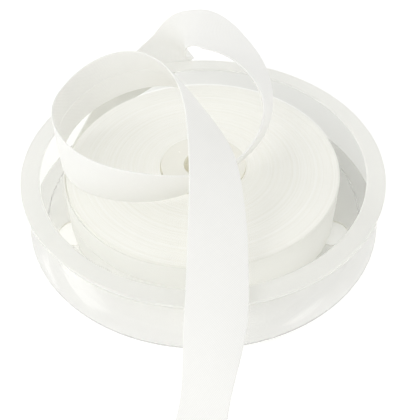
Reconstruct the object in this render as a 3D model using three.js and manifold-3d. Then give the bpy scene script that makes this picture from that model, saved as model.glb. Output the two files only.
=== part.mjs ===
// Roll of bias tape on a clear reel of two flanges. The reel lies flat, its axis upright. The loose end
// of the tape leaves the groove at the back left, rises behind the rim, makes an arch and a loop over
// the upper flange, and comes down over the front rim. Millimetres, +Z up.
import * as THREE from 'three';
import { mergeVertices } from 'three/addons/utils/BufferGeometryUtils.js';
import loadManifold from 'manifold-3d';

// Tape
const TAPE_WIDTH = 25;
const LOOSE_THICK = 1;
const CLEARANCE = 0.3;

// Reel: two alike flanges, each with a thick rim band, a thin disc and half of the hub
const FLANGE_RADIUS = 85;
const BAND_WIDTH = 8;
const BAND_THICK = 1.6;
const BAND_SLOPE = 0.8;
const DISC_THICK = 1;
const EDGE_ROUND = 0.5;
const HUB_RADIUS = 20;
const HUB_WALL = 2;
const SPINDLE_RADIUS = 9.3;
const COLLAR_WALL = 2;
const COLLAR_RISE = 1.6;
const REEL_HEIGHT = TAPE_WIDTH + 2 * (BAND_THICK + CLEARANCE);

// Round holes through the lower flange, half under the outer turns of the roll
const HOLE_COUNT = 5;
const HOLE_RADIUS = 8.2;
const HOLE_RING = 64.6;
const FIRST_HOLE_DEG = -162;

// Wound tape: groups of turns from the hub outwards, and how far their edges sit back from the flanges
const ROLL_RADIUS = 64.4;
const ROLL_BORE = 20.4;
const TURN_STEP = 0.5;
const TURN_GROUPS = [
  { reach: 25, top: 0.5, foot: 0.3 },
  { reach: 32, top: 0.2, foot: 0.1 },
  { reach: 39, top: 0.4, foot: 0.3 },
  { reach: 47, top: 0.1, foot: 0 },
  { reach: 55, top: 0.3, foot: 0.2 },
  { reach: 61, top: 0, foot: 0.1 },
  { reach: ROLL_RADIUS, top: 0.2, foot: 0 },
];

// The loose end hugs the roll, leaves it along a straight line and passes out between the flanges
const HUG_FROM_DEG = 215;
const LEAVE_DEG = 167;
const HUG_STEPS = 6;
const HUG_GAP = 0.6;
const GROOVE_RUNS = [18, 36, 52];

// Then it runs free. Each row is the middle of the tape, with the bearing and the rise, in degrees, of
// the line across it, from the edge that ends up at the left of the front strip to the other edge.
const FREE_PATH = [
  { x: -49.3, y: 75.3, z: 14.9, bearing: -146, rise: 87 },
  { x: -41.5, y: 82, z: 17.3, bearing: -152, rise: 71 },
  { x: -32.5, y: 87.6, z: 21.6, bearing: -166, rise: 54 },
  { x: -24, y: 91, z: 26.8, bearing: -179, rise: 40 },
  { x: -17.6, y: 91.6, z: 32.6, bearing: 167, rise: 24 },
  { x: -13.3, y: 86.4, z: 41.4, bearing: 131, rise: 13.5 },
  { x: -9.7, y: 80.6, z: 48.6, bearing: 101, rise: 14 },
  { x: -4.4, y: 76.2, z: 53.8, bearing: 76, rise: 19 },
  { x: 3.5, y: 69.5, z: 56, bearing: 53, rise: 10 },
  { x: 9.5, y: 62.5, z: 55.5, bearing: 32, rise: -1 },
  { x: 20, y: 44.5, z: 56.5, bearing: 28, rise: -27 },
  { x: 27.5, y: 24, z: 53.7, bearing: 30, rise: -56 },
  { x: 27.3, y: 4.7, z: 48.6, bearing: 86, rise: -74 },
  { x: 17.5, y: -12.3, z: 43.4, bearing: 118, rise: -59 },
  { x: 1.2, y: -24.4, z: 40.4, bearing: 112, rise: -57 },
  { x: -19, y: -29.6, z: 40.5, bearing: 100, rise: -69 },
  { x: -39.5, y: -27.4, z: 41.1, bearing: 78, rise: -79 },
  { x: -56, y: -18.4, z: 41.4, bearing: 68, rise: -87 },
  { x: -65.5, y: -4.4, z: 42, bearing: 91, rise: -87 },
  { x: -67, y: 11.2, z: 44, bearing: 54, rise: -80 },
  { x: -60, y: 24.8, z: 47.7, bearing: 41, rise: -73 },
  { x: -47, y: 32.7, z: 53.3, bearing: 22, rise: -68 },
  { x: -31, y: 31.7, z: 59.5, bearing: 20, rise: -66 },
  { x: -16.5, y: 22, z: 64, bearing: 30, rise: -59 },
  { x: -5.9, y: 2.8, z: 66.7, bearing: 35, rise: -57 },
  { x: 1, y: -17.2, z: 65.4, bearing: 32, rise: -44 },
  { x: 4.5, y: -33.6, z: 60.3, bearing: 24, rise: -29 },
  { x: 5.7, y: -45.5, z: 53, bearing: 16, rise: -23 },
  { x: 6.2, y: -56.5, z: 45.4, bearing: 8, rise: -15 },
  { x: 6.2, y: -69.1, z: 38.5, bearing: 3, rise: -9 },
  { x: 5.8, y: -84, z: 32.6, bearing: -4, rise: 0 },
  { x: 4.5, y: -98, z: 27, bearing: -12, rise: 14 },
  { x: 1, y: -119, z: 16, bearing: -25, rise: 34 },
  { x: -3, y: -139, z: 5.6, bearing: -18, rise: 20 },
  { x: -6.5, y: -157, z: 1.4, bearing: -8, rise: 3 },
  { x: -9, y: -176, z: 0.8, bearing: -6, rise: 0 },
];

// Fineness of the round pieces and of the swept tape
const ROUND_STEPS = 72;
const STEPS_PER_ROW = 5;

const clearPlastic = new THREE.MeshStandardMaterial({
  color: 0xe6e8e2,
  roughness: 0.12,
  metalness: 0,
  transparent: true,
  opacity: 0.45,
});
const cotton = new THREE.MeshStandardMaterial({ color: 0xf3f2ec, roughness: 0.9, metalness: 0 });

const wasm = await loadManifold();
wasm.setup();

function toSolid(geometry) {
  const bare = geometry.clone();
  bare.deleteAttribute('normal');
  bare.deleteAttribute('uv');
  const merged = mergeVertices(bare, 1e-4);
  return new wasm.Manifold(
    new wasm.Mesh({
      numProp: 3,
      vertProperties: new Float32Array(merged.attributes.position.array),
      triVerts: new Uint32Array(merged.index.array),
    }),
  );
}

function toGeometry(solid) {
  const mesh = solid.getMesh();
  const geometry = new THREE.BufferGeometry();
  geometry.setAttribute('position', new THREE.BufferAttribute(mesh.vertProperties, 3));
  geometry.setIndex(new THREE.BufferAttribute(mesh.triVerts, 1));
  geometry.computeVertexNormals();
  return geometry;
}

// A closed ring turned about the upright axis. The outline runs up its outside and down its inside.
function turned(outline) {
  const points = outline.map(([radius, height]) => new THREE.Vector2(radius, height));
  points.push(points[0].clone());
  return new THREE.LatheGeometry(points, ROUND_STEPS).rotateX(Math.PI / 2);
}

// Section of the lower flange, with its underside at zero
function flangeOutline() {
  const bandInside = FLANGE_RADIUS - BAND_WIDTH;
  const discUnder = BAND_THICK - DISC_THICK;
  const hubInside = HUB_RADIUS - HUB_WALL;
  const hubTop = (REEL_HEIGHT - CLEARANCE) / 2;
  const collarOutside = SPINDLE_RADIUS + COLLAR_WALL;
  const collarTop = BAND_THICK + COLLAR_RISE;
  return [
    [FLANGE_RADIUS - EDGE_ROUND, 0],
    [FLANGE_RADIUS, EDGE_ROUND],
    [FLANGE_RADIUS, BAND_THICK - EDGE_ROUND],
    [FLANGE_RADIUS - EDGE_ROUND, BAND_THICK],
    [HUB_RADIUS, BAND_THICK],
    [HUB_RADIUS, hubTop],
    [hubInside, hubTop],
    [hubInside, BAND_THICK],
    [collarOutside, BAND_THICK],
    [collarOutside, collarTop],
    [SPINDLE_RADIUS, collarTop],
    [SPINDLE_RADIUS, discUnder],
    [bandInside - BAND_SLOPE, discUnder],
    [bandInside, 0],
  ];
}

function lowerFlange() {
  const cutter = new THREE.CylinderGeometry(HOLE_RADIUS, HOLE_RADIUS, 4 * BAND_THICK, ROUND_STEPS / 2);
  cutter.rotateX(Math.PI / 2);
  let solid = toSolid(turned(flangeOutline()));
  for (let i = 0; i < HOLE_COUNT; i += 1) {
    const angle = THREE.MathUtils.degToRad(FIRST_HOLE_DEG + (360 / HOLE_COUNT) * i);
    const hole = cutter.clone().translate(HOLE_RING * Math.cos(angle), HOLE_RING * Math.sin(angle), 0);
    solid = solid.subtract(toSolid(hole));
  }
  return toGeometry(solid);
}

function upperFlange() {
  const mirrored = flangeOutline().map(([radius, height]) => [radius, REEL_HEIGHT - height]);
  return turned(mirrored.reverse());
}

// The roll's faces step a little up and down from one group of turns to the next
function woundTape() {
  const foot = BAND_THICK + CLEARANCE;
  const head = foot + TAPE_WIDTH;
  const under = [];
  const over = [];
  let inner = ROLL_BORE;
  TURN_GROUPS.forEach((group, i) => {
    const last = i === TURN_GROUPS.length - 1;
    const outer = last ? group.reach : group.reach - TURN_STEP;
    under.push([inner, foot + group.foot], [outer, foot + group.foot]);
    over.push([inner, head - group.top], [outer, head - group.top]);
    inner = group.reach;
  });
  return turned([...under, ...over.reverse()]);
}

// Stations of the loose end: its middle and the direction across it
function looseStations() {
  const middleHeight = REEL_HEIGHT / 2;
  const hugRadius = ROLL_RADIUS + HUG_GAP + LOOSE_THICK / 2;
  const up = new THREE.Vector3(0, 0, 1);
  const stations = [];
  const add = (x, y, z, across) => stations.push({ middle: new THREE.Vector3(x, y, z), across });
  for (let i = 0; i <= HUG_STEPS; i += 1) {
    const angle = THREE.MathUtils.degToRad(THREE.MathUtils.lerp(HUG_FROM_DEG, LEAVE_DEG, i / HUG_STEPS));
    add(hugRadius * Math.cos(angle), hugRadius * Math.sin(angle), middleHeight, up);
  }
  const leave = THREE.MathUtils.degToRad(LEAVE_DEG);
  for (const run of GROOVE_RUNS) {
    const x = hugRadius * Math.cos(leave) + run * Math.sin(leave);
    const y = hugRadius * Math.sin(leave) - run * Math.cos(leave);
    add(x, y, middleHeight, up);
  }
  for (const row of FREE_PATH) {
    const bearing = THREE.MathUtils.degToRad(row.bearing);
    const rise = THREE.MathUtils.degToRad(row.rise);
    const level = Math.cos(rise);
    add(row.x, row.y, row.z, new THREE.Vector3(level * Math.cos(bearing), level * Math.sin(bearing), Math.sin(rise)));
  }
  return stations;
}

// A flat strip swept through the stations, square across its path and closed at both ends
function looseTape() {
  const stations = looseStations();
  const path = new THREE.CatmullRomCurve3(stations.map((station) => station.middle));
  const turn = new THREE.CatmullRomCurve3(stations.map((station) => station.across), false, 'catmullrom', 0.5);
  const steps = (stations.length - 1) * STEPS_PER_ROW;
  const corners = [[-1, -1], [1, -1], [1, 1], [-1, 1]];
  const positions = [];
  const index = [];
  for (let i = 0; i <= steps; i += 1) {
    const middle = path.getPoint(i / steps);
    const along = path.getTangent(i / steps);
    const across = turn.getPoint(i / steps);
    across.addScaledVector(along, -across.dot(along)).normalize();
    const face = new THREE.Vector3().crossVectors(along, across);
    for (const [side, layer] of corners) {
      const corner = middle.clone();
      corner.addScaledVector(across, (side * TAPE_WIDTH) / 2);
      corner.addScaledVector(face, (layer * LOOSE_THICK) / 2);
      positions.push(corner.x, corner.y, corner.z);
    }
  }
  const count = corners.length;
  for (let i = 0; i < steps; i += 1) {
    for (let j = 0; j < count; j += 1) {
      const a = i * count + j;
      const b = i * count + ((j + 1) % count);
      index.push(a, b, b + count, a, b + count, a + count);
    }
  }
  const end = steps * count;
  index.push(0, 2, 1, 0, 3, 2, end, end + 1, end + 2, end, end + 2, end + 3);
  const geometry = new THREE.BufferGeometry();
  geometry.setAttribute('position', new THREE.Float32BufferAttribute(positions, 3));
  geometry.setIndex(index);
  geometry.computeVertexNormals();
  return geometry;
}

function piece(name, geometry, material) {
  const mesh = new THREE.Mesh(geometry, material);
  mesh.name = name;
  return mesh;
}

// The reel's axis is at x = y = 0 inside this group
const onReelAxis = new THREE.Group();
onReelAxis.add(
  piece('reel_lower', lowerFlange(), clearPlastic),
  piece('reel_upper', upperFlange(), clearPlastic),
  piece('tape_roll', woundTape(), cotton),
  piece('tape_end', looseTape(), cotton),
);

// The whole part is set down with its origin at the middle of its base
const box = new THREE.Box3().setFromObject(onReelAxis);
const middle = box.getCenter(new THREE.Vector3());
onReelAxis.position.set(-middle.x, -middle.y, -box.min.z);

const bias_tape_roll = new THREE.Group();
bias_tape_roll.add(onReelAxis);

export default bias_tape_roll;
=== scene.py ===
"""Roll of white bias tape on a clear two-flange reel, with its loose end looped over the reel.

Sizes are in metres in the part's own frame: +Z is up, the reel lies flat on z = 0 and the loose end
comes off towards -Y. Points of the tape's path are in millimetres from the reel's axis.
"""
import math

import bmesh
import bpy
import numpy as np
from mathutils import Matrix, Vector


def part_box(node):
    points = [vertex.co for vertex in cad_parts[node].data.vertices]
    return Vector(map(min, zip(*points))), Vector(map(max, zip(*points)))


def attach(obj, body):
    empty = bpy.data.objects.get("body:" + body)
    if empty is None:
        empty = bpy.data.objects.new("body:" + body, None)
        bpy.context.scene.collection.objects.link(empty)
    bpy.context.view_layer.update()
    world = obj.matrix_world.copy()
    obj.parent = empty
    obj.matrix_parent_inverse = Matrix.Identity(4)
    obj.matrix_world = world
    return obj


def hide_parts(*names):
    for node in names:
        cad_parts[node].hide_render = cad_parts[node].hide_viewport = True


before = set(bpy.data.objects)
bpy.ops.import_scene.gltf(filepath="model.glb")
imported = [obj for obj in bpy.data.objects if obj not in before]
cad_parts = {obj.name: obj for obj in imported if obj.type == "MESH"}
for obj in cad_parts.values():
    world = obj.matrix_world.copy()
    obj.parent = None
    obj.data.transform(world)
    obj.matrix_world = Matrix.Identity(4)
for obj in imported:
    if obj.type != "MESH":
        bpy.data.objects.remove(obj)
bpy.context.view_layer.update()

MM = 0.001

# Reel
FLANGE_RADIUS = 85 * MM
BAND_WIDTH = 8 * MM
BAND_THICK = 1.6 * MM
BAND_SLOPE = 0.8 * MM
BAND_FALL = 0.7 * MM
DISC_THICK = 1.0 * MM
HUB_RADIUS = 20 * MM
HUB_WALL = 2 * MM
SPINDLE_RADIUS = 9.3 * MM
COLLAR_WALL = 2 * MM
COLLAR_RISE = 1.6 * MM
REEL_HEIGHT = 28.8 * MM
HALF_GAP = 0.15 * MM
EDGE_ROUND = 0.5 * MM
CORNER_ROUND = 0.25 * MM
REEL_STEPS = 240
REEL_SHARP_DEG = 35
RIM_SLOT = 1
HUB_SLOT = 2

# Holes through the lower flange
HOLE_COUNT = 5
HOLE_RADIUS = 8.2 * MM
HOLE_RING = 64.6 * MM
FIRST_HOLE_DEG = -162
HOLE_STEPS = 64

# Wound tape
TAPE_WIDTH = 25 * MM
TAPE_THICK = 0.47 * MM
ROLL_RADIUS = 64.4 * MM
ROLL_BORE = 20.15 * MM
STEPS_PER_TURN = 112
SECTION_SHARE = 0.985
SECTION_ROUND = 0.55
EDGE_WANDER = 0.14 * MM
TURN_WANDER = 0.12 * MM
SEED = 7.0

# Loose tape: where it parts from the roll, and its folded section
PART_DEG = 270
LOOSE_DEG = 225
LEAVE_DEG = 167
HUG_STEPS = 14
HUG_RADIUS = 65.2
GROOVE_RUNS = (18, 36, 52)
CLOTH_THICK = 0.24 * MM
FOLD_ROUND = 0.22 * MM
SLIT = 0.45 * MM
FLAP_STEP = 0.3
ROW_STEP = 1.25 * MM
FLAP_STEPS = 9
FOLD_STEPS = 6
FACE_STEPS = 20
PATH_STEPS = 6000
TAPE_SHARP_DEG = 50

# The layers of the loose tape stand a little apart, more so once it has left the roll
WOUND_PUFF = 0.04 * MM
LOOSE_PUFF = 0.2 * MM
PUFF_START = 0.12
PUFF_RUN = 0.06

# Middle of the tape, then the bearing and rise in degrees of the line across it
FREE_PATH = (
    # x, y, z, bearing, rise
    (-49.3, 75.3, 14.9, -146, 87),
    (-41.5, 82, 17.3, -152, 71),
    (-32.5, 87.6, 21.6, -166, 54),
    (-24, 91, 26.8, -179, 40),
    (-17.6, 91.6, 32.6, 167, 24),
    (-13.3, 86.4, 41.4, 131, 13.5),
    (-9.7, 80.6, 48.6, 101, 14),
    (-4.4, 76.2, 53.8, 76, 19),
    (3.5, 69.5, 56, 53, 10),
    (9.5, 62.5, 55.5, 32, -1),
    (20, 44.5, 56.5, 28, -27),
    (27.5, 24, 53.7, 30, -56),
    (27.3, 4.7, 48.6, 86, -74),
    (17.5, -12.3, 43.4, 118, -59),
    (1.2, -24.4, 40.4, 112, -57),
    (-19, -29.6, 40.5, 100, -69),
    (-39.5, -27.4, 41.1, 78, -79),
    (-56, -18.4, 41.4, 68, -87),
    (-65.5, -4.4, 42, 91, -87),
    (-67, 11.2, 44, 54, -80),
    (-60, 24.8, 47.7, 41, -73),
    (-47, 32.7, 53.3, 22, -68),
    (-31, 31.7, 59.5, 20, -66),
    (-16.5, 22, 64, 30, -59),
    (-5.9, 2.8, 66.7, 35, -57),
    (1, -17.2, 65.4, 32, -44),
    (4.5, -33.6, 60.3, 24, -29),
    (5.7, -45.5, 53, 16, -23),
    (6.2, -56.5, 45.4, 8, -15),
    (6.2, -69.1, 38.5, 3, -9),
    (5.8, -84, 32.6, -4, 0),
    (4.5, -98, 27, -12, 14),
    (1, -119, 16, -25, 34),
    (-3, -139, 5.6, -18, 20),
    (-6.5, -157, 1.4, -8, 3),
    (-9, -176, 0.8, -6, 0),
)

# Weave of the cotton, the scales of its slubs and rings, and the share of each in its tone
THREAD_PITCH = 0.7 * MM
THREAD_RELIEF = 0.05 * MM
SLUB_SCALE = 110.0
SLUB_CROSS_SCALE = 1400.0
CLOUD_SCALE = 45.0
RING_SCALE = 800.0
SLUB_SHARE = 0.45
CLOUD_SHARE = 0.25
THREAD_SHARE = 0.6

# Flow marks of the plastic
MARK_SCALE = 35.0
MARK_RELIEF = 0.2 * MM

# Painted shade: the clear disc is greyer outside the roll, and more so towards the right and back, for the
# floor in the roll's shade seen through it
PAINTED_SHADE_EDGE = (ROLL_RADIUS - 1.5 * MM, ROLL_RADIUS + 0.2 * MM)
PAINTED_SHADE_SIDE = Vector((0.8, 0.6, 0.0))
PAINTED_SHADE_RUN = (-45 * MM, 60 * MM)

reel_low, reel_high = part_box("reel_lower")
AXIS = Vector(((reel_low.x + reel_high.x) / 2, (reel_low.y + reel_high.y) / 2, 0))
scene = bpy.context.scene


# Helpers for node trees
def add_node(tree, kind, inputs=None, **settings):
    """Add a node, set its properties, and set or link its inputs by name or number."""
    node = tree.nodes.new(kind)
    for key, value in settings.items():
        setattr(node, key, value)
    for key, value in (inputs or {}).items():
        socket = node.inputs[key]
        if isinstance(value, bpy.types.NodeSocket):
            tree.links.new(value, socket)
        else:
            socket.default_value = value
    return node


def math_node(tree, operation, *values):
    """One Math node; each value is a number or a socket."""
    return add_node(tree, "ShaderNodeMath", dict(enumerate(values)), operation=operation).outputs[0]


def group_tree(name, kind, inputs, outputs):
    """A node group with named sockets, given as (name, socket type, default) and (name, socket type)."""
    tree = bpy.data.node_groups.new(name, kind)
    for label, socket_type, default in inputs:
        socket = tree.interface.new_socket(label, in_out="INPUT", socket_type=socket_type)
        if default is not None:
            socket.default_value = default
    for label, socket_type in outputs:
        tree.interface.new_socket(label, in_out="OUTPUT", socket_type=socket_type)
    return tree, tree.nodes.new("NodeGroupInput"), tree.nodes.new("NodeGroupOutput")


def new_material(name):
    """A material with an empty node tree but for its output."""
    material = bpy.data.materials.new(name)
    material.use_nodes = True
    material.node_tree.nodes.clear()
    output = material.node_tree.nodes.new("ShaderNodeOutputMaterial")
    return material, material.node_tree, output


# Materials
def matt_rays(tree):
    """One for the rays that lamps and matt surfaces send, and nought for what the eye sees."""
    rays = add_node(tree, "ShaderNodeLightPath").outputs
    return math_node(tree, "MAXIMUM", rays["Is Shadow Ray"], rays["Is Diffuse Ray"])


def axis_group():
    """Distance from the reel's axis."""
    tree, given, result = group_tree(
        "axis_distance",
        "ShaderNodeTree",
        (("Place", "NodeSocketVector", None),),
        (("Distance", "NodeSocketFloat"),),
    )
    centred = add_node(
        tree,
        "ShaderNodeMapping",
        {"Vector": given.outputs["Place"], "Location": (-AXIS.x, -AXIS.y, 0)},
    )
    flat = add_node(
        tree,
        "ShaderNodeVectorMath",
        {0: centred.outputs[0], 1: (1, 1, 0)},
        operation="MULTIPLY",
    )
    length = add_node(tree, "ShaderNodeVectorMath", {0: flat.outputs[0]}, operation="LENGTH")
    tree.links.new(length.outputs["Value"], result.inputs["Distance"])
    return tree


def weave_group():
    """Plain weave cut on the bias: threads cross the tape at 45 degrees both ways."""
    tree, given, result = group_tree(
        "bias_weave",
        "ShaderNodeTree",
        (
            ("Along", "NodeSocketFloat", 0.0),
            ("Across", "NodeSocketFloat", 0.0),
            ("Pitch", "NodeSocketFloat", THREAD_PITCH),
        ),
        (("Height", "NodeSocketFloat"), ("Tone", "NodeSocketFloat")),
    )
    along = given.outputs["Along"]
    across = given.outputs["Across"]
    pitch = given.outputs["Pitch"]
    half_turn = math.sqrt(0.5)
    warp = math_node(tree, "MULTIPLY", math_node(tree, "ADD", along, across), half_turn)
    weft = math_node(tree, "MULTIPLY", math_node(tree, "SUBTRACT", along, across), half_turn)
    waves = []
    for thread in (warp, weft):
        phase = math_node(tree, "MULTIPLY", math_node(tree, "DIVIDE", thread, pitch), math.pi)
        waves.append(math_node(tree, "SINE", phase))
    bumps = math_node(tree, "MULTIPLY", waves[0], waves[1])
    tree.links.new(math_node(tree, "ABSOLUTE", bumps), result.inputs["Height"])
    streaks = []
    for first, second in ((warp, weft), (weft, warp)):
        place = add_node(
            tree,
            "ShaderNodeCombineXYZ",
            {
                0: math_node(tree, "MULTIPLY", first, SLUB_CROSS_SCALE),
                1: math_node(tree, "MULTIPLY", second, SLUB_SCALE),
            },
        )
        noise = add_node(
            tree,
            "ShaderNodeTexNoise",
            {"Vector": place.outputs[0], "Scale": 1.0, "Detail": 2.0},
        )
        streaks.append(noise.outputs[0])
    tone = math_node(tree, "MULTIPLY", math_node(tree, "ADD", *streaks), 0.5)
    tree.links.new(tone, result.inputs["Tone"])
    return tree


def cotton_material(name, dark, light, bump, through, rings=0.0):
    """White cotton: bias weave, slubs in the threads and a soft nap.

    Each face lets the share through of the light that lamps and matt surfaces send. Rings, where
    given, set turn from turn by the distance from the reel's axis.
    """
    material, tree, output = new_material(name)
    along = add_node(tree, "ShaderNodeAttribute", attribute_name="along").outputs["Fac"]
    across = add_node(tree, "ShaderNodeAttribute", attribute_name="across").outputs["Fac"]
    cloth = add_node(
        tree,
        "ShaderNodeGroup",
        {"Along": along, "Across": across, "Pitch": THREAD_PITCH},
        node_tree=bias_weave,
    )
    place = add_node(tree, "ShaderNodeTexCoord").outputs["Object"]
    cloud = add_node(tree, "ShaderNodeTexNoise", {"Vector": place, "Scale": CLOUD_SCALE, "Detail": 3.0})
    tone = math_node(tree, "MULTIPLY", cloth.outputs["Tone"], SLUB_SHARE)
    tone = math_node(tree, "ADD", tone, math_node(tree, "MULTIPLY", cloud.outputs[0], CLOUD_SHARE))
    tone = math_node(tree, "ADD", tone, math_node(tree, "MULTIPLY", cloth.outputs["Height"], THREAD_SHARE))
    if rings:
        axis = add_node(tree, "ShaderNodeGroup", {"Place": place}, node_tree=reel_axis)
        ring = add_node(
            tree,
            "ShaderNodeTexNoise",
            {"W": axis.outputs["Distance"], "Scale": RING_SCALE, "Detail": 3.0, "Roughness": 0.7},
            noise_dimensions="1D",
        )
        swing = math_node(tree, "MULTIPLY", math_node(tree, "SUBTRACT", ring.outputs[0], 0.5), rings)
        tone = math_node(tree, "ADD", tone, swing)
    ramp = add_node(tree, "ShaderNodeMapRange", {0: tone, 1: 0.4, 2: 0.85})
    colour = add_node(tree, "ShaderNodeMix", {0: ramp.outputs[0], 6: dark, 7: light}, data_type="RGBA")
    relief = add_node(
        tree,
        "ShaderNodeBump",
        {"Strength": bump, "Distance": THREAD_RELIEF, "Height": cloth.outputs["Height"]},
    )
    rough = add_node(tree, "ShaderNodeMapRange", {0: tone, 1: 0.3, 2: 0.9, 3: 0.95, 4: 0.82})
    shader = add_node(
        tree,
        "ShaderNodeBsdfPrincipled",
        {
            "Base Color": colour.outputs[2],
            "Roughness": rough.outputs[0],
            "Normal": relief.outputs[0],
            "Specular IOR Level": 0.2,
            "Sheen Weight": 0.05,
            "Sheen Roughness": 0.5,
        },
    )
    straight = math_node(tree, "MULTIPLY", matt_rays(tree), through)
    clear = add_node(tree, "ShaderNodeBsdfTransparent")
    mix = add_node(tree, "ShaderNodeMixShader", {0: straight, 1: shader.outputs[0], 2: clear.outputs[0]})
    tree.links.new(mix.outputs[0], output.inputs["Surface"])
    return material


def mould_group():
    """Faint flow marks and haze of moulded plastic."""
    tree, given, result = group_tree(
        "mould_marks",
        "ShaderNodeTree",
        (("Place", "NodeSocketVector", None), ("Scale", "NodeSocketFloat", 60.0)),
        (("Height", "NodeSocketFloat"), ("Haze", "NodeSocketFloat")),
    )
    flow = add_node(
        tree,
        "ShaderNodeTexNoise",
        {
            "Vector": given.outputs["Place"],
            "Scale": given.outputs["Scale"],
            "Detail": 2.0,
            "Distortion": 0.6,
        },
    )
    fine_scale = math_node(tree, "MULTIPLY", given.outputs["Scale"], 9.0)
    fine = add_node(
        tree,
        "ShaderNodeTexNoise",
        {"Vector": given.outputs["Place"], "Scale": fine_scale, "Detail": 3.0},
    )
    tree.links.new(flow.outputs[0], result.inputs["Height"])
    mixed = math_node(tree, "ADD", math_node(tree, "MULTIPLY", flow.outputs[0], 0.6), fine.outputs[0])
    tree.links.new(math_node(tree, "MULTIPLY", mixed, 0.625), result.inputs["Haze"])
    return tree


def plastic_material(name, tints, rough_range, transmission, bump, through, bend=1.49, outer_shade=None):
    """Clear or milky moulded plastic. Light that lamps and matt surfaces send passes it without bending.

    The last argument, where given, holds the pale and the grey tint outside the roll, which is painted
    shade.
    """
    material, tree, output = new_material(name)
    place = add_node(tree, "ShaderNodeTexCoord").outputs["Object"]
    mould = add_node(tree, "ShaderNodeGroup", {"Place": place, "Scale": MARK_SCALE}, node_tree=mould_marks)
    haze = add_node(tree, "ShaderNodeMapRange", {0: mould.outputs["Haze"], 1: 0.35, 2: 0.7})
    colour = add_node(
        tree,
        "ShaderNodeMix",
        {0: haze.outputs[0], 6: tints[0], 7: tints[1]},
        data_type="RGBA",
    )
    # Painted shade: greyer beyond the roll's edge, more so towards the right and back
    if outer_shade:
        inner = colour.outputs[2]
        axis = add_node(tree, "ShaderNodeGroup", {"Place": place}, node_tree=reel_axis)
        edge = add_node(
            tree,
            "ShaderNodeMapRange",
            {0: axis.outputs["Distance"], 1: PAINTED_SHADE_EDGE[0], 2: PAINTED_SHADE_EDGE[1]},
            interpolation_type="SMOOTHSTEP",
        )
        lean = add_node(tree, "ShaderNodeVectorMath", {0: place, 1: PAINTED_SHADE_SIDE}, operation="DOT_PRODUCT")
        middle = AXIS.dot(PAINTED_SHADE_SIDE)
        grey = add_node(
            tree,
            "ShaderNodeMapRange",
            {0: lean.outputs["Value"], 1: middle + PAINTED_SHADE_RUN[0], 2: middle + PAINTED_SHADE_RUN[1]},
            interpolation_type="SMOOTHSTEP",
        )
        ring = add_node(
            tree,
            "ShaderNodeMix",
            {0: grey.outputs[0], 6: outer_shade[0], 7: outer_shade[1]},
            data_type="RGBA",
        )
        colour = add_node(
            tree,
            "ShaderNodeMix",
            {0: edge.outputs[0], 6: inner, 7: ring.outputs[2]},
            data_type="RGBA",
        )
    rough = add_node(
        tree,
        "ShaderNodeMapRange",
        {0: mould.outputs["Haze"], 1: 0.3, 2: 0.7, 3: rough_range[0], 4: rough_range[1]},
    )
    relief = add_node(
        tree,
        "ShaderNodeBump",
        {"Strength": bump, "Distance": MARK_RELIEF, "Height": mould.outputs["Height"]},
    )
    shader = add_node(
        tree,
        "ShaderNodeBsdfPrincipled",
        {
            "Base Color": colour.outputs[2],
            "Roughness": rough.outputs[0],
            "Normal": relief.outputs[0],
            "IOR": bend,
            "Transmission Weight": transmission,
        },
    )
    clear = add_node(tree, "ShaderNodeBsdfTransparent", {"Color": through})
    straight = matt_rays(tree)
    mix = add_node(tree, "ShaderNodeMixShader", {0: straight, 1: shader.outputs[0], 2: clear.outputs[0]})
    tree.links.new(mix.outputs[0], output.inputs["Surface"])
    return material


reel_axis = axis_group()
bias_weave = weave_group()
mould_marks = mould_group()
loose_cotton = cotton_material(
    "loose_cotton",
    dark=(0.832, 0.83, 0.803, 1),
    light=(0.9, 0.898, 0.871, 1),
    bump=0.28,
    through=0.85,
)
# The wound roll is the same cotton as the loose tape, painted lighter: painted light that makes up for the
# light the clear disc over it and the grooves between turns take away
wound_cotton = cotton_material(
    "wound_cotton",
    dark=(0.925, 0.918, 0.878, 1),
    light=(0.97, 0.967, 0.945, 1),
    bump=0.3,
    through=0.0,
    rings=2.2,
)
clear_plastic = plastic_material(
    "clear_plastic",
    tints=((0.985, 0.988, 0.98, 1), (0.992, 0.994, 0.99, 1)),
    rough_range=(0.02, 0.05),
    transmission=1.0,
    bump=0.05,
    through=(0.99, 0.99, 0.98, 1),
    bend=1.2,
    # Painted shade outside the roll: pale, then grey towards the right and back
    outer_shade=((0.935, 0.937, 0.91, 1), (0.735, 0.738, 0.712, 1)),
)
# The lower flange is the same clear plastic as the upper one; its greyer tint is painted shade, for the
# shade it lies in under the roll
shaded_lower_plastic = plastic_material(
    "shaded_lower_plastic",
    tints=((0.895, 0.894, 0.887, 1), (0.915, 0.914, 0.907, 1)),
    rough_range=(0.08, 0.14),
    transmission=0.8,
    bump=0.05,
    through=(0.95, 0.95, 0.94, 1),
)
hub_plastic = plastic_material(
    "hub_plastic",
    tints=((0.85, 0.842, 0.775, 1), (0.87, 0.862, 0.795, 1)),
    rough_range=(0.2, 0.28),
    transmission=0.1,
    bump=0.05,
    through=(0.97, 0.965, 0.94, 1),
)
milky_plastic = plastic_material(
    "milky_plastic",
    tints=((0.88, 0.88, 0.845, 1), (0.895, 0.895, 0.86, 1)),
    rough_range=(0.3, 0.36),
    transmission=0.5,
    bump=0.05,
    through=(0.9, 0.9, 0.88, 1),
)


# Pieces
def finished(name, mesh, *materials):
    """Put a finished mesh in the scene as a piece that rides on the one body."""
    piece = bpy.data.objects.new(name, mesh)
    scene.collection.objects.link(piece)
    for material in materials:
        if material.name not in mesh.materials:
            mesh.materials.append(material)
    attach(piece, "root")
    return piece


def evaluated_mesh(piece):
    """The mesh with the piece's modifiers applied. The piece itself is removed."""
    graph = bpy.context.evaluated_depsgraph_get()
    mesh = bpy.data.meshes.new_from_object(piece.evaluated_get(graph), depsgraph=graph)
    bpy.data.objects.remove(piece)
    return mesh


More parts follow.
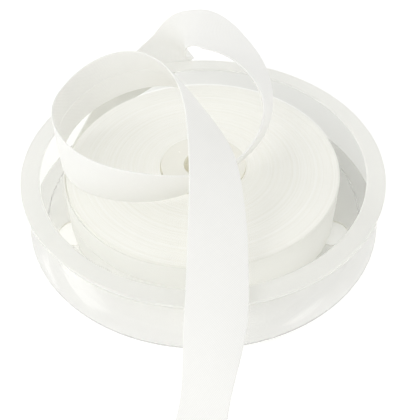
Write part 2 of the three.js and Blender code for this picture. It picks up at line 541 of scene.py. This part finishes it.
def rounded(corners, steps=4, most=0.45):
    """An outline of (radius, height, rounding) corners with an arc in place of each rounded corner.

    An arc takes no more than the given share of the edges beside it.
    """
    points = []
    for i, (r, z, size) in enumerate(corners):
        here = Vector((r, z))
        if size == 0:
            points.append(here)
            continue
        back = Vector(corners[i - 1][:2]) - here
        ahead = Vector(corners[(i + 1) % len(corners)][:2]) - here
        half = back.angle(ahead) / 2
        inset = min(size / math.tan(half), back.length * most, ahead.length * most)
        start = here + back.normalized() * inset
        end = here + ahead.normalized() * inset
        for step in range(steps + 1):
            t = step / steps
            points.append(start * (1 - t) ** 2 + here * 2 * t * (1 - t) + end * t**2)
    return points


def turned_mesh(name, points):
    """A closed outline turned about the reel's axis."""
    mesh = bpy.data.meshes.new(name)
    verts = []
    faces = []
    count = len(points)
    for step in range(REEL_STEPS):
        angle = math.tau * step / REEL_STEPS
        for point in points:
            x = AXIS.x + point.x * math.cos(angle)
            y = AXIS.y + point.x * math.sin(angle)
            verts.append((x, y, point.y))
        following = (step + 1) % REEL_STEPS
        for i in range(count):
            j = (i + 1) % count
            faces.append((step * count + i, following * count + i, following * count + j, step * count + j))
    mesh.from_pydata(verts, [], faces)
    shell = bmesh.new()
    shell.from_mesh(mesh)
    bmesh.ops.recalc_face_normals(shell, faces=shell.faces)
    shell.to_mesh(mesh)
    shell.free()
    return mesh


def flange_corners(band_fall):
    """Section of the lower flange with half of the hub, its underside on z = 0. The band falls outwards."""
    band_inside = FLANGE_RADIUS - BAND_WIDTH
    disc_under = BAND_THICK - DISC_THICK
    hub_top = REEL_HEIGHT / 2 - HALF_GAP
    collar_outside = SPINDLE_RADIUS + COLLAR_WALL
    collar_top = BAND_THICK + COLLAR_RISE
    return [
        (FLANGE_RADIUS, 0, EDGE_ROUND),
        (FLANGE_RADIUS, BAND_THICK - band_fall, EDGE_ROUND),
        (band_inside, BAND_THICK, 0),
        (HUB_RADIUS, BAND_THICK, CORNER_ROUND),
        (HUB_RADIUS, hub_top, CORNER_ROUND),
        (HUB_RADIUS - HUB_WALL, hub_top, CORNER_ROUND),
        (HUB_RADIUS - HUB_WALL, BAND_THICK, CORNER_ROUND),
        (collar_outside, BAND_THICK, CORNER_ROUND),
        (collar_outside, collar_top, CORNER_ROUND),
        (SPINDLE_RADIUS, collar_top, CORNER_ROUND),
        (SPINDLE_RADIUS, disc_under, CORNER_ROUND),
        (HUB_RADIUS, disc_under, 0),
        (band_inside - BAND_SLOPE, disc_under, CORNER_ROUND),
        (band_inside, 0, CORNER_ROUND),
    ]


def hole_cutter():
    """Round bars where the holes go."""
    shape = bmesh.new()
    for i in range(HOLE_COUNT):
        angle = math.radians(FIRST_HOLE_DEG + 360 / HOLE_COUNT * i)
        bar = bmesh.ops.create_cone(
            shape,
            cap_ends=True,
            segments=HOLE_STEPS,
            radius1=HOLE_RADIUS,
            radius2=HOLE_RADIUS,
            depth=6 * BAND_THICK,
        )
        middle = AXIS + Vector((HOLE_RING * math.cos(angle), HOLE_RING * math.sin(angle), 0))
        bmesh.ops.translate(shape, verts=bar["verts"], vec=middle)
    mesh = bpy.data.meshes.new("hole_cutter")
    shape.to_mesh(mesh)
    shape.free()
    cutter = bpy.data.objects.new("hole_cutter", mesh)
    scene.collection.objects.link(cutter)
    return cutter


def with_holes(mesh):
    """The flange's mesh after the holes are cut."""
    work = bpy.data.objects.new("uncut_flange", mesh)
    scene.collection.objects.link(work)
    cutter = hole_cutter()
    cut = work.modifiers.new("holes", "BOOLEAN")
    cut.operation = "DIFFERENCE"
    cut.solver = "EXACT"
    cut.object = cutter
    done = evaluated_mesh(work)
    bpy.data.objects.remove(cutter)
    return done


def reel_half(name, node, upper, disc, rim):
    """One flange with its half of the hub. The disc and the rim band have a plastic each.

    The hub and the walls of the holes have the hub's plastic.
    """
    corners = flange_corners(0 if upper else BAND_FALL)
    if upper:
        corners = [(r, REEL_HEIGHT - z, size) for r, z, size in reversed(corners)]
    mesh = turned_mesh(name, rounded(corners))
    if not upper:
        mesh = with_holes(mesh)
    mesh.materials.append(disc)
    mesh.materials.append(rim)
    mesh.materials.append(hub_plastic)
    for face in mesh.polygons:
        flat = Vector((face.center.x - AXIS.x, face.center.y - AXIS.y))
        if flat.length > FLANGE_RADIUS - BAND_WIDTH - BAND_SLOPE:
            face.material_index = RIM_SLOT
        elif flat.length < HUB_RADIUS or abs(face.normal.z) < 0.5:
            face.material_index = HUB_SLOT
        face.use_smooth = True
    mesh.set_sharp_from_angle(angle=math.radians(REEL_SHARP_DEG))
    piece = finished(name, mesh)
    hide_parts(node)
    return piece


def wound_tree():
    """Geometry nodes: a spiral of folded tape whose edges wander up and down from turn to turn."""
    tree, given, result = group_tree(
        "wound_tape",
        "GeometryNodeTree",
        (
            ("Bore Radius", "NodeSocketFloat", ROLL_BORE),
            ("Roll Radius", "NodeSocketFloat", ROLL_RADIUS),
            ("Turns", "NodeSocketFloat", 90.0),
            ("Steps Per Turn", "NodeSocketInt", STEPS_PER_TURN),
            ("Tape Width", "NodeSocketFloat", TAPE_WIDTH),
            ("Tape Thickness", "NodeSocketFloat", TAPE_THICK),
            ("Edge Wander", "NodeSocketFloat", EDGE_WANDER),
            ("End Bearing", "NodeSocketFloat", 0.0),
            ("Middle", "NodeSocketVector", None),
            ("Seed", "NodeSocketFloat", SEED),
            ("Material", "NodeSocketMaterial", None),
        ),
        (("Geometry", "NodeSocketGeometry"),),
    )
    value = given.outputs
    half = math_node(tree, "MULTIPLY", value["Tape Thickness"], 0.5)
    spiral = add_node(
        tree,
        "GeometryNodeCurveSpiral",
        {
            "Resolution": value["Steps Per Turn"],
            "Rotations": value["Turns"],
            "Start Radius": math_node(tree, "ADD", value["Bore Radius"], half),
            "End Radius": math_node(tree, "SUBTRACT", value["Roll Radius"], half),
            "Height": 0.0,
            "Reverse": True,
        },
    )
    run = add_node(tree, "GeometryNodeSplineParameter")
    spot = add_node(tree, "GeometryNodeInputPosition")
    turn = math_node(tree, "MULTIPLY", run.outputs["Factor"], value["Turns"])
    outward = add_node(tree, "ShaderNodeVectorMath", {0: spot.outputs[0]}, operation="NORMALIZE").outputs[0]
    parts = add_node(tree, "ShaderNodeSeparateXYZ", {0: outward})

    def wander(turn_scale, round_scale):
        """Noise about nought that changes from turn to turn and round each turn."""
        place = add_node(
            tree,
            "ShaderNodeCombineXYZ",
            {
                0: math_node(tree, "MULTIPLY", turn, turn_scale),
                1: math_node(tree, "MULTIPLY", parts.outputs[0], round_scale),
                2: math_node(tree, "MULTIPLY", parts.outputs[1], round_scale),
            },
        )
        noise = add_node(
            tree,
            "ShaderNodeTexNoise",
            {"Vector": place.outputs[0], "W": value["Seed"], "Scale": 1.0, "Detail": 1.0},
            noise_dimensions="4D",
        )
        return math_node(tree, "SUBTRACT", noise.outputs[0], 0.5)

    quick = math_node(tree, "MULTIPLY", wander(2.3, 1.1), 0.45)
    drift = math_node(tree, "ADD", wander(0.3, 0.7), quick)
    lift = math_node(tree, "MULTIPLY", math_node(tree, "MULTIPLY", drift, 1.6), value["Edge Wander"])
    push = math_node(tree, "MULTIPLY", wander(1.7, 2.4), TURN_WANDER)
    sideways = add_node(tree, "ShaderNodeVectorMath", {0: outward, "Scale": push}, operation="SCALE")
    upward = add_node(tree, "ShaderNodeCombineXYZ", {2: lift})
    offset = add_node(
        tree,
        "ShaderNodeVectorMath",
        {0: sideways.outputs[0], 1: upward.outputs[0]},
        operation="ADD",
    )
    moved = add_node(
        tree,
        "GeometryNodeSetPosition",
        {"Geometry": spiral.outputs[0], "Offset": offset.outputs[0]},
    )
    marked = add_node(
        tree,
        "GeometryNodeStoreNamedAttribute",
        {"Geometry": moved.outputs[0], "Name": "along", "Value": run.outputs["Length"]},
    )
    upright = add_node(tree, "GeometryNodeSetCurveNormal", {"Curve": marked.outputs[0]}, mode="Z_UP")
    section = add_node(
        tree,
        "GeometryNodeCurvePrimitiveQuadrilateral",
        {
            "Width": math_node(tree, "MULTIPLY", value["Tape Thickness"], SECTION_SHARE),
            "Height": value["Tape Width"],
        },
    )
    fillet = add_node(
        tree,
        "GeometryNodeFilletCurve",
        {
            "Curve": section.outputs[0],
            "Count": 1,
            "Radius": math_node(tree, "MULTIPLY", half, SECTION_ROUND),
            "Limit Radius": True,
        },
        mode="POLY",
    )
    corner = add_node(tree, "GeometryNodeInputPosition")
    level = add_node(tree, "ShaderNodeSeparateXYZ", {0: corner.outputs[0]})
    ruled = add_node(
        tree,
        "GeometryNodeStoreNamedAttribute",
        {"Geometry": fillet.outputs[0], "Name": "across", "Value": level.outputs[1]},
    )
    swept = add_node(
        tree,
        "GeometryNodeCurveToMesh",
        {"Curve": upright.outputs[0], "Profile Curve": ruled.outputs[0], "Fill Caps": True},
    )
    bearing = add_node(tree, "ShaderNodeCombineXYZ", {2: value["End Bearing"]}).outputs[0]
    placed = add_node(
        tree,
        "GeometryNodeTransform",
        {"Geometry": swept.outputs[0], "Translation": value["Middle"], "Rotation": bearing},
    )
    smooth = add_node(tree, "GeometryNodeSetShadeSmooth", {"Geometry": placed.outputs[0]})
    plain = add_node(tree, "GeometryNodeRealizeInstances", {"Geometry": smooth.outputs[0]})
    dressed = add_node(
        tree,
        "GeometryNodeSetMaterial",
        {"Geometry": plain.outputs[0], "Material": value["Material"]},
    )
    tree.links.new(dressed.outputs[0], result.inputs["Geometry"])
    return tree


def set_inputs(modifier, values):
    """Set a geometry modifier's inputs by their sockets' identifiers."""
    for item in modifier.node_group.interface.items_tree:
        if item.item_type == "SOCKET" and item.in_out == "INPUT" and item.name in values:
            modifier[item.identifier] = values[item.name]


def wound_roll():
    """The wound tape, as a spiral that ends where the loose tape parts from it."""
    work = bpy.data.objects.new("wound_work", bpy.data.meshes.new("wound_work"))
    scene.collection.objects.link(work)
    wind = work.modifiers.new("wind", "NODES")
    wind.node_group = wound_tree()
    turns = round((ROLL_RADIUS - ROLL_BORE) / TAPE_THICK)
    set_inputs(
        wind,
        {
            "Bore Radius": ROLL_BORE,
            "Roll Radius": ROLL_RADIUS,
            "Turns": float(turns),
            "Steps Per Turn": STEPS_PER_TURN,
            "Tape Width": TAPE_WIDTH,
            "Tape Thickness": TAPE_THICK,
            "Edge Wander": EDGE_WANDER,
            "End Bearing": math.radians(PART_DEG),
            "Middle": (AXIS.x, AXIS.y, REEL_HEIGHT / 2),
            "Seed": SEED,
            "Material": wound_cotton,
        },
    )
    piece = finished("wound_tape", evaluated_mesh(work), wound_cotton)
    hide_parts("tape_roll")
    return piece


# Loose tape
def smooth_through(knots, values, places):
    """A natural cubic spline through values at the knots, read at the given places."""
    count = len(knots)
    gaps = np.diff(knots)
    rise = np.diff(values, axis=0) / gaps[:, None]
    matrix = np.eye(count)
    right = np.zeros_like(values)
    for i in range(1, count - 1):
        matrix[i, i - 1] = gaps[i - 1]
        matrix[i, i] = 2 * (gaps[i - 1] + gaps[i])
        matrix[i, i + 1] = gaps[i]
        right[i] = 6 * (rise[i] - rise[i - 1])
    bend = np.linalg.solve(matrix, right)
    span = np.clip(np.searchsorted(knots, places) - 1, 0, count - 2)
    gap = gaps[span][:, None]
    before = (knots[span + 1] - places)[:, None]
    after = (places - knots[span])[:, None]
    cubic = (bend[span] * before**3 + bend[span + 1] * after**3) / (6 * gap)
    first = (values[span] / gap - bend[span] * gap / 6) * before
    second = (values[span + 1] / gap - bend[span + 1] * gap / 6) * after
    return cubic + first + second


def unit(vectors):
    """Each row at length one."""
    return vectors / np.linalg.norm(vectors, axis=1)[:, None]


def tape_stations():
    """Middle of the loose tape in millimetres from the reel's axis, and the direction across it."""
    middle = []
    across = []
    height = REEL_HEIGHT / 2 / MM
    wound = (ROLL_RADIUS - TAPE_THICK / 2) / MM
    for i in range(HUG_STEPS + 1):
        degrees = PART_DEG + (LEAVE_DEG - PART_DEG) * i / HUG_STEPS
        t = min(1, (PART_DEG - degrees) / (PART_DEG - LOOSE_DEG))
        radius = wound + (HUG_RADIUS - wound) * t * t * (3 - 2 * t)
        angle = math.radians(degrees)
        middle.append((radius * math.cos(angle), radius * math.sin(angle), height))
        across.append((0, 0, 1))
    leave = math.radians(LEAVE_DEG)
    for run in GROOVE_RUNS:
        x = HUG_RADIUS * math.cos(leave) + run * math.sin(leave)
        y = HUG_RADIUS * math.sin(leave) - run * math.cos(leave)
        middle.append((x, y, height))
        across.append((0, 0, 1))
    for x, y, z, bearing, rise in FREE_PATH:
        turn = math.radians(bearing)
        tilt = math.radians(rise)
        middle.append((x, y, z))
        level = math.cos(tilt)
        across.append((level * math.cos(turn), level * math.sin(turn), math.sin(tilt)))
    return np.array(middle, dtype=float), np.array(across, dtype=float)


def tape_rows():
    """Even rows along the loose tape: place, across, face direction and distance from the start."""
    middle, across = tape_stations()
    steps = np.sqrt(np.linalg.norm(np.diff(middle, axis=0), axis=1))
    knots = np.concatenate(([0.0], np.cumsum(steps)))
    fine = np.linspace(0, knots[-1], PATH_STEPS)
    path = smooth_through(knots, middle, fine)
    run = np.concatenate(([0.0], np.cumsum(np.linalg.norm(np.diff(path, axis=0), axis=1))))
    rows = int(run[-1] * MM / ROW_STEP)
    even = np.linspace(0, run[-1], rows + 1)
    places = np.interp(even, run, fine)
    path = smooth_through(knots, middle, places)
    along = unit(np.gradient(path, axis=0))
    side = smooth_through(knots, across, places)
    side = unit(side - along * np.sum(side * along, axis=1)[:, None])
    face = np.cross(along, side)
    return path * MM + np.array(AXIS), side, face, even * MM


def folded_section():
    """Columns across the folded tape: offset across, layer (1 face, -1 flap), puff and flat distance."""
    half = TAPE_WIDTH / 2 - CLOTH_THICK / 2 - FOLD_ROUND
    columns = []
    for i in range(FLAP_STEPS + 1):
        t = i / FLAP_STEPS
        offset = SLIT / 2 + (half - SLIT / 2) * t
        columns.append((-offset, -1.0, -math.sin(math.pi * (0.25 + 0.75 * t))))
    for i in range(1, FOLD_STEPS):
        angle = math.pi * i / FOLD_STEPS
        columns.append((-half - FOLD_ROUND * math.sin(angle), -math.cos(angle), 0.0))
    for i in range(FACE_STEPS + 1):
        t = i / FACE_STEPS
        columns.append((-half + 2 * half * t, 1.0, math.sin(math.pi * t)))
    first_flap = columns[: FLAP_STEPS + FOLD_STEPS]
    for u, layer, puff in reversed(first_flap):
        columns.append((-u, layer, puff * FLAP_STEP))
    flat = [0.0]
    for (u, layer, _), (v, other, _) in zip(columns, columns[1:]):
        flat.append(flat[-1] + math.hypot(v - u, (other - layer) * FOLD_ROUND))
    centre = flat[-1] / 2
    return [(u, layer, puff, f - centre) for (u, layer, puff), f in zip(columns, flat)]


def loose_tape():
    """The loose end: one strip of cotton folded to the middle at the back, as thick as cloth."""
    path, side, face, run = tape_rows()
    section = folded_section()
    free = np.clip((run - PUFF_START) / PUFF_RUN, 0, 1)
    verts = []
    along = []
    across = []
    for i in range(len(run)):
        puff_size = WOUND_PUFF + LOOSE_PUFF * free[i]
        for u, layer, puff, flat in section:
            lift = layer * FOLD_ROUND + puff * puff_size
            verts.append(tuple(path[i] + side[i] * u + face[i] * lift))
            along.append(run[i])
            across.append(flat)
    count = len(section)
    faces = []
    for i in range(len(run) - 1):
        for j in range(count - 1):
            a = i * count + j
            faces.append((a, a + 1, a + 1 + count, a + count))
    mesh = bpy.data.meshes.new("loose_work")
    mesh.from_pydata(verts, [], faces)
    for label, values in (("along", along), ("across", across)):
        layer = mesh.attributes.new(label, "FLOAT", "POINT")
        layer.data.foreach_set("value", values)
    mesh.polygons.foreach_set("use_smooth", [True] * len(faces))
    work = bpy.data.objects.new("loose_work", mesh)
    scene.collection.objects.link(work)
    cloth = work.modifiers.new("cloth", "SOLIDIFY")
    cloth.thickness = CLOTH_THICK
    cloth.offset = 0
    cloth.use_even_offset = False
    strip = evaluated_mesh(work)
    strip.set_sharp_from_angle(angle=math.radians(TAPE_SHARP_DEG))
    piece = finished("loose_tape", strip, loose_cotton)
    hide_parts("tape_end")
    width = section[-1][3] - section[0][3]
    return piece, (width, run[-1])


# Camera
CAMERA_PLACE = Vector((3.1, -268.4, 266.9)) * MM
CAMERA_AIM = Vector((3.11, 0, -2.7)) * MM
CAMERA_LENS = 65.14

camera_data = bpy.data.cameras.new("camera")
camera_data.lens = CAMERA_LENS
camera_data.sensor_width = 36
camera_data.clip_start = 0.01
camera = bpy.data.objects.new("camera", camera_data)
camera.location = AXIS + CAMERA_PLACE
camera.rotation_euler = (CAMERA_AIM - CAMERA_PLACE).to_track_quat("-Z", "Y").to_euler()
scene.collection.objects.link(camera)
scene.camera = camera

# The object
reel_half("reel_lower_shell", "reel_lower", False, shaded_lower_plastic, shaded_lower_plastic)
reel_half("reel_upper_shell", "reel_upper", True, clear_plastic, milky_plastic)
wound_roll()
tape, tape_flat = loose_tape()

# Floor and light
FLOOR_SIZE = 6.0
FLOOR_DROP = 0.2 * MM
FLOOR_GLOW = 0.17
ROOM_LIGHT = 0.965
ROOM_LEAN = (0.38, 0.04, -0.42)
LAMPS = (
    # name, place, aim, size, power
    ("left_key", (-0.72, -0.86, 0.76), (0, 0, 0.02), 0.7, 4.4),
    ("left_top", (-0.8, 0.1, 0.95), (0, 0, 0.02), 0.7, 3.6),
    ("left_glint", (-0.44, 0.64, 1.03), (-0.06, -0.05, 0), 0.27, 0.7),
    ("right_glint", (0.37, 0.5, 1.13), (0.05, -0.06, 0), 0.18, 0.3),
)


def floor_material():
    """Pale matt paper."""
    material, tree, output = new_material("pale_floor")
    place = add_node(tree, "ShaderNodeTexCoord").outputs["Object"]
    grain = add_node(tree, "ShaderNodeTexNoise", {"Vector": place, "Scale": 300.0, "Detail": 2.0})
    pale = (0.935, 0.935, 0.93, 1)
    paler = (0.95, 0.95, 0.945, 1)
    colour = add_node(tree, "ShaderNodeMix", {0: grain.outputs[0], 6: pale, 7: paler}, data_type="RGBA")
    shader = add_node(
        tree,
        "ShaderNodeBsdfPrincipled",
        {
            "Base Color": colour.outputs[2],
            "Roughness": 0.9,
            "Emission Color": (1, 1, 1, 1),
            "Emission Strength": FLOOR_GLOW,
        },
    )
    tree.links.new(shader.outputs[0], output.inputs["Surface"])
    return material


floor_mesh = bpy.data.meshes.new("floor")
reach = FLOOR_SIZE / 2
floor_mesh.from_pydata(
    [(x * reach, y * reach, -FLOOR_DROP) for x, y in ((-1, -1), (1, -1), (1, 1), (-1, 1))],
    [],
    [(0, 1, 2, 3)],
)
floor_mesh.materials.append(floor_material())
floor = bpy.data.objects.new("floor", floor_mesh)
scene.collection.objects.link(floor)


def area_lamp(name, place, aim, size, power):
    """A square white soft box pointed at a spot."""
    data = bpy.data.lights.new(name, "AREA")
    data.size = size
    data.energy = power
    lamp = bpy.data.objects.new(name, data)
    lamp.location = AXIS + Vector(place)
    lamp.rotation_euler = (Vector(aim) - Vector(place)).to_track_quat("-Z", "Y").to_euler()
    scene.collection.objects.link(lamp)


for lamp_values in LAMPS:
    area_lamp(*lamp_values)


def studio_world():
    """A white room, lighter low down and towards the right, where the lamps on the left don't reach."""
    world = bpy.data.worlds.new("studio")
    world.use_nodes = True
    tree = world.node_tree
    tree.nodes.clear()
    direction = add_node(tree, "ShaderNodeTexCoord").outputs["Generated"]
    lean = add_node(tree, "ShaderNodeVectorMath", {0: direction, 1: ROOM_LEAN}, operation="DOT_PRODUCT")
    light = math_node(tree, "ADD", lean.outputs["Value"], ROOM_LIGHT)
    sky = add_node(tree, "ShaderNodeBackground", {"Color": (1, 1, 1, 1), "Strength": light})
    output = add_node(tree, "ShaderNodeOutputWorld")
    tree.links.new(sky.outputs[0], output.inputs["Surface"])
    return world


scene.world = studio_world()

scene.view_settings.view_transform = "Standard"
# Light passes many walls of clear plastic before it leaves the reel
scene.cycles.diffuse_bounces = 8
scene.cycles.max_bounces = 16
scene.cycles.transparent_max_bounces = 32
